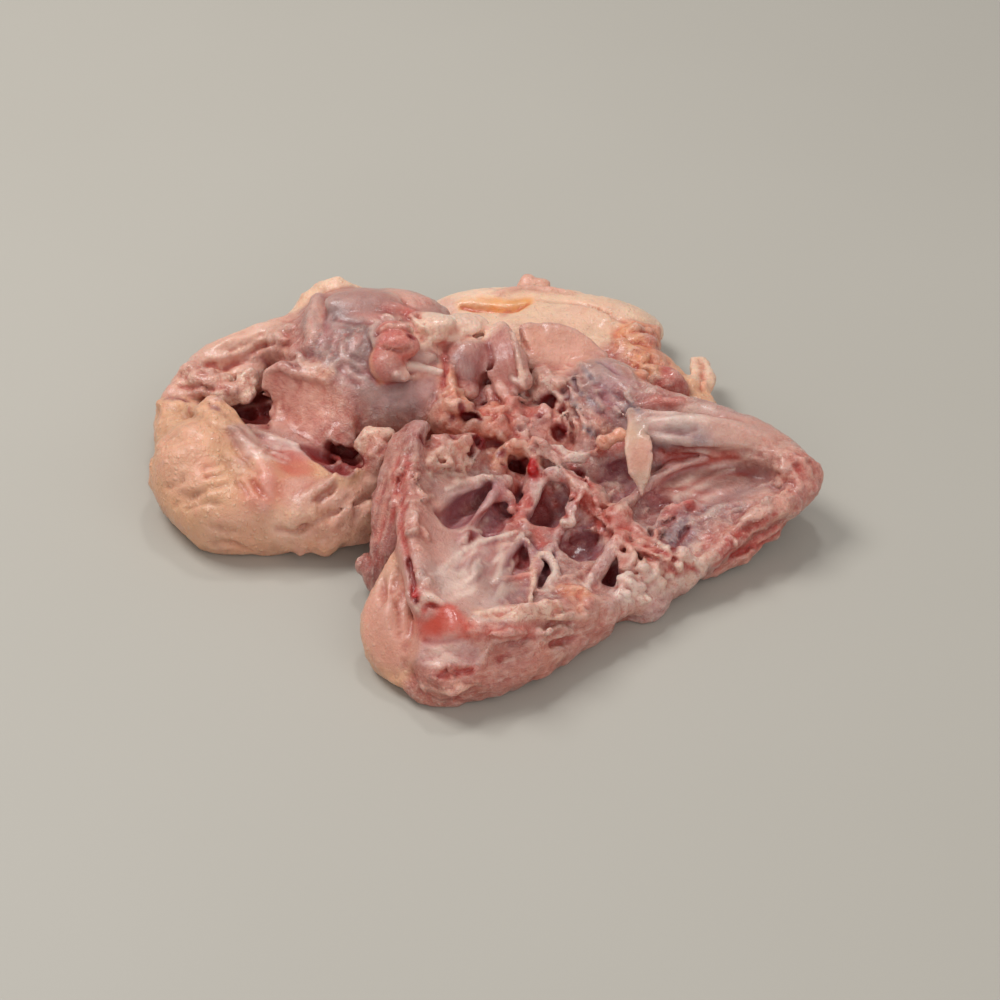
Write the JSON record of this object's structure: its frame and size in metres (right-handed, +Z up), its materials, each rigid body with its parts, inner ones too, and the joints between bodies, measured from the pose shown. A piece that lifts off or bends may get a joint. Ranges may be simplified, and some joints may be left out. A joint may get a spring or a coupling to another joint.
{
  "type": "raw chicken back",
  "caption": "Raw chicken back, opened ribcage up, with backbone, hip meat and loose skin, lying on its skin side.",
  "frame": {"origin": "middle of the bounding box at the surface it lies on", "axes": "+X across the ribs towards the pointed outer corner, +Y towards the tail skin, +Z up out of the rib cavity"},
  "size_m": [0.2082, 0.2052, 0.0443],
  "materials": {
    "raw_chicken": "moist raw meat and skin, semi-gloss"
  },
  "bodies": {
    "root": {"chicken_back": "raw_chicken"}
  },
  "joints": []
}
